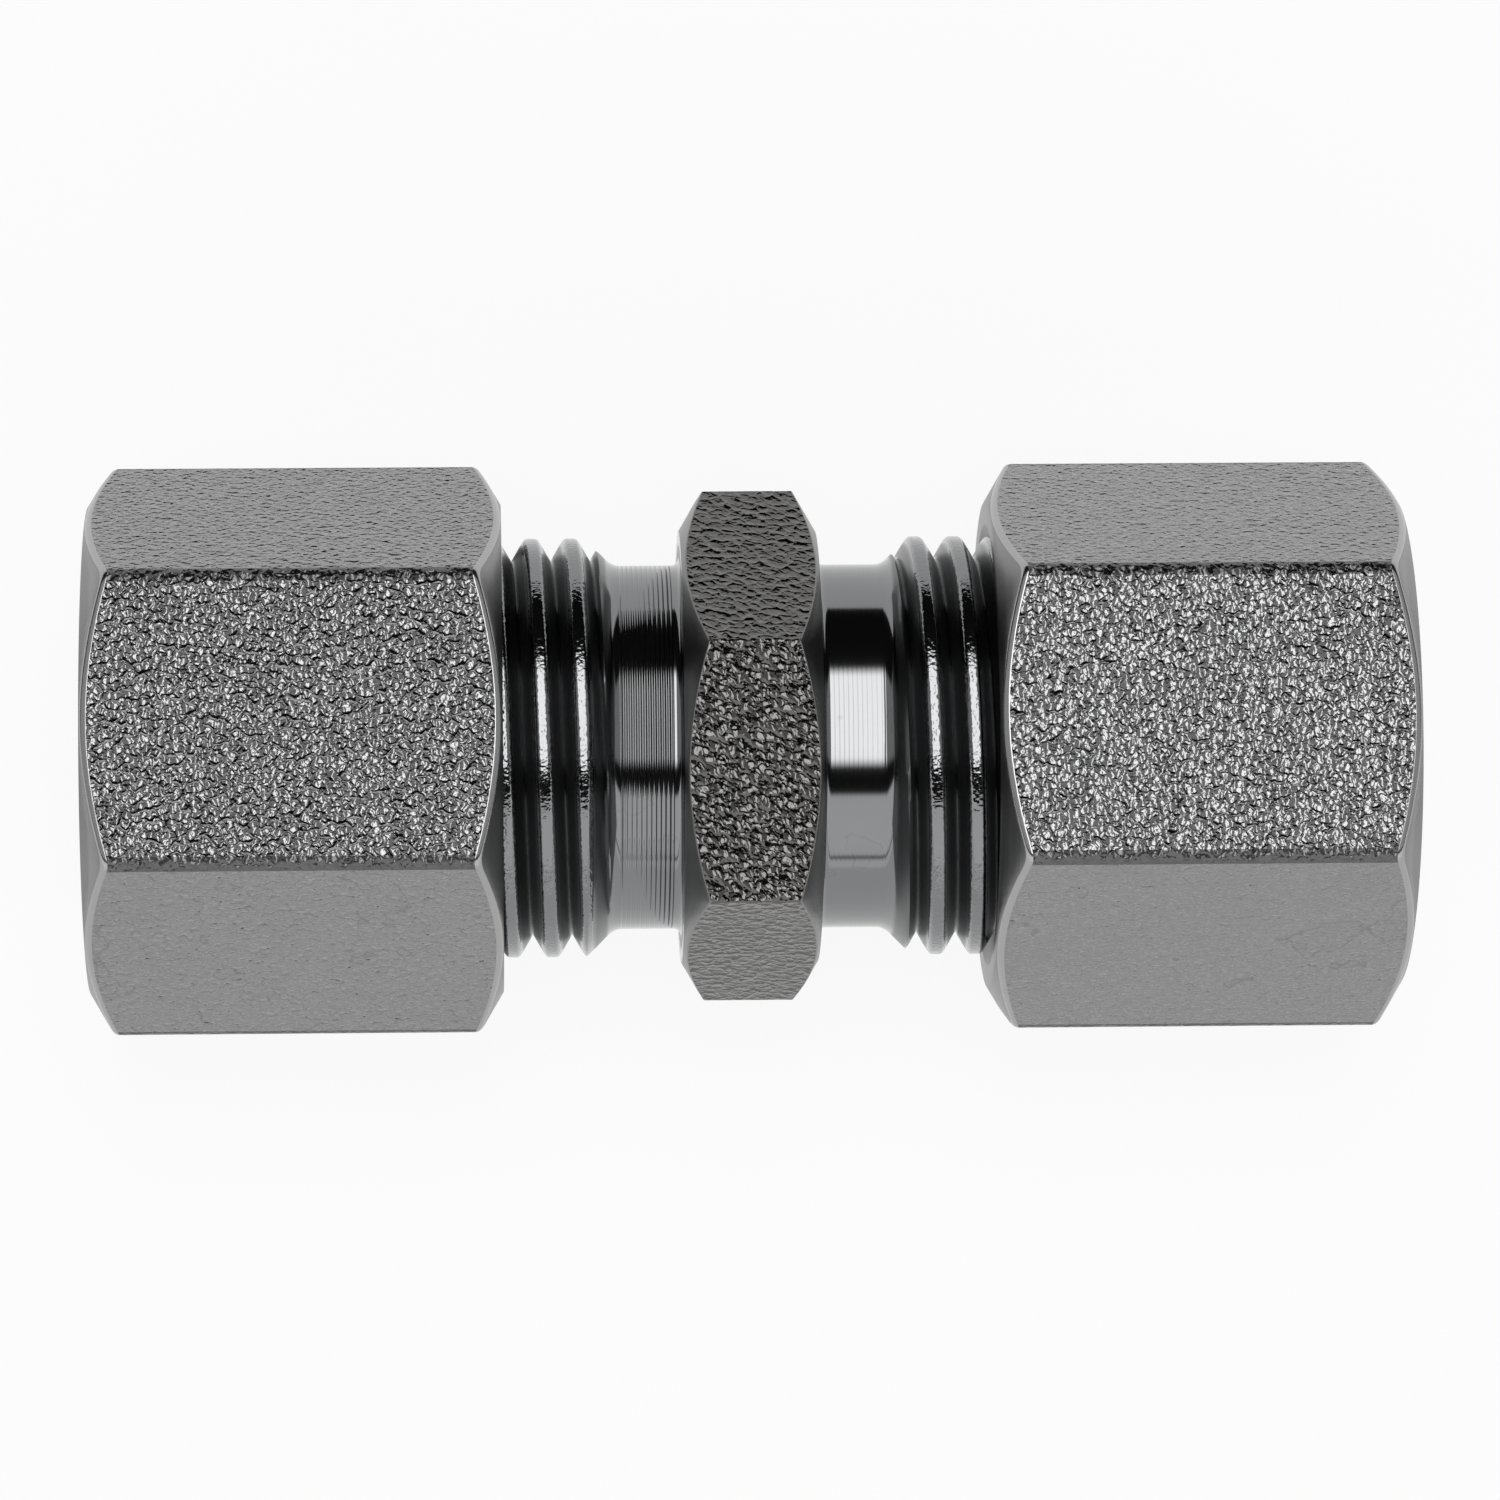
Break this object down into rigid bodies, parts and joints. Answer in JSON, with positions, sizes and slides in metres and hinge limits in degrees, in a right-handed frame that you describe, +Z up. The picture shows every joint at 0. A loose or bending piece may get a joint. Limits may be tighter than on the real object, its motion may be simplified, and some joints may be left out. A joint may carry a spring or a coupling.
{
  "type": "compression union",
  "caption": "Straight cutting ring compression union in zinc plated steel: a threaded hexagon body with a union nut and a cutting ring at each end joins two 10 mm tubes in line.",
  "frame": {"origin": "centre of the hexagon body, on the axis of the tubes", "axes": "X along the tubes with +X to the right, +Z up, square to the flats that both nuts rest on"},
  "size_m": [0.0499, 0.022, 0.019],
  "materials": {
    "body_steel": "zinc plated, turned necks and threads, rough hexagon faces",
    "nut_steel": "zinc plated, grainy hexagon faces with turned ends",
    "ring_steel": "turned and hardened, plated"
  },
  "bodies": {
    "union": {"union_body": "body_steel"},
    "left_ring": {"left_cutting_ring": "ring_steel"},
    "left_nut": {"left_nut": "nut_steel"},
    "right_ring": {"right_cutting_ring": "ring_steel"},
    "right_nut": {"right_nut": "nut_steel"}
  },
  "joints": [
    {"name": "left_ring_slide", "type": "slide", "parent": "union", "child": "left_ring", "axis": [-1, 0, 0], "range_m": [-0.00156, 0.00409]},
    {"name": "left_nut_turn", "type": "hinge", "parent": "left_ring", "child": "left_nut", "pos_m": [0, 0, 0], "axis": [-1, 0, 0], "range_deg": [-375, 983]},
    {"name": "right_ring_slide", "type": "slide", "parent": "union", "child": "right_ring", "axis": [1, 0, 0], "range_m": [-0.00131, 0.00434]},
    {"name": "right_nut_turn", "type": "hinge", "parent": "right_ring", "child": "right_nut", "pos_m": [0, 0, 0], "axis": [1, 0, 0], "range_deg": [-315, 1043]}
  ],
  "couplings": [
    {"joint": "left_nut_turn", "follows": "left_ring_slide", "rad_per_m": 4188.8},
    {"joint": "right_nut_turn", "follows": "right_ring_slide", "rad_per_m": 4188.8}
  ]
}
